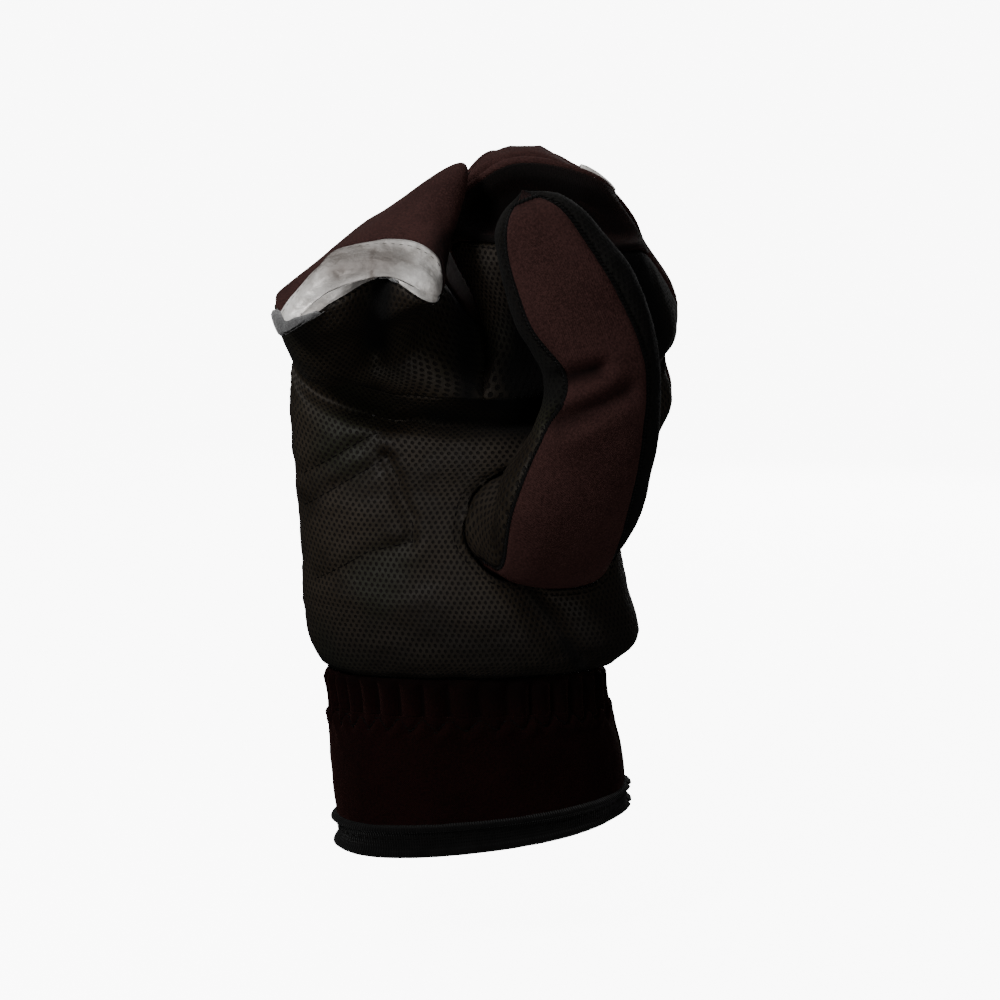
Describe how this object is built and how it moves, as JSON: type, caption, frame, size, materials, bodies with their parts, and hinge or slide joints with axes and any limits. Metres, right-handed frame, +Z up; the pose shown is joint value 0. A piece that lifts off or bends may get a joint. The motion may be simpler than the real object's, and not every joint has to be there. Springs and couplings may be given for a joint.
{
  "type": "softshell glove",
  "caption": "Split-mitten winter glove held in its worn shape: softshell back, leather palm and thumb, finger pockets with silver tape, gathered wrist and an open cuff with a bound hem.",
  "frame": {"origin": "middle of the open mouth at the cuff's hem, where the hand goes in", "axes": "+Z up the glove from the mouth to the fingertips, -Y the way the palm faces, +X the thumb side"},
  "size_m": [0.1213, 0.095, 0.2162],
  "materials": {
    "leather": "soft satin, finely perforated",
    "softshell": "matt woven softshell",
    "black_knit": "matt knitted binding",
    "silver_tape": "reflective tape, satin"
  },
  "bodies": {
    "root": {"hem_binding": "black_knit", "cuff": "softshell", "wrist_gather": "softshell", "palm_panel": "leather", "hand_back": "softshell", "left_pocket_palm": "leather", "left_pocket_back": "softshell", "left_tip_tape": "silver_tape", "right_pocket_palm": "leather", "right_tip_front": "softshell", "right_pocket_back": "softshell", "right_tip_tape": "silver_tape", "thumb_back": "softshell", "thumb_palm": "leather"}
  },
  "joints": []
}
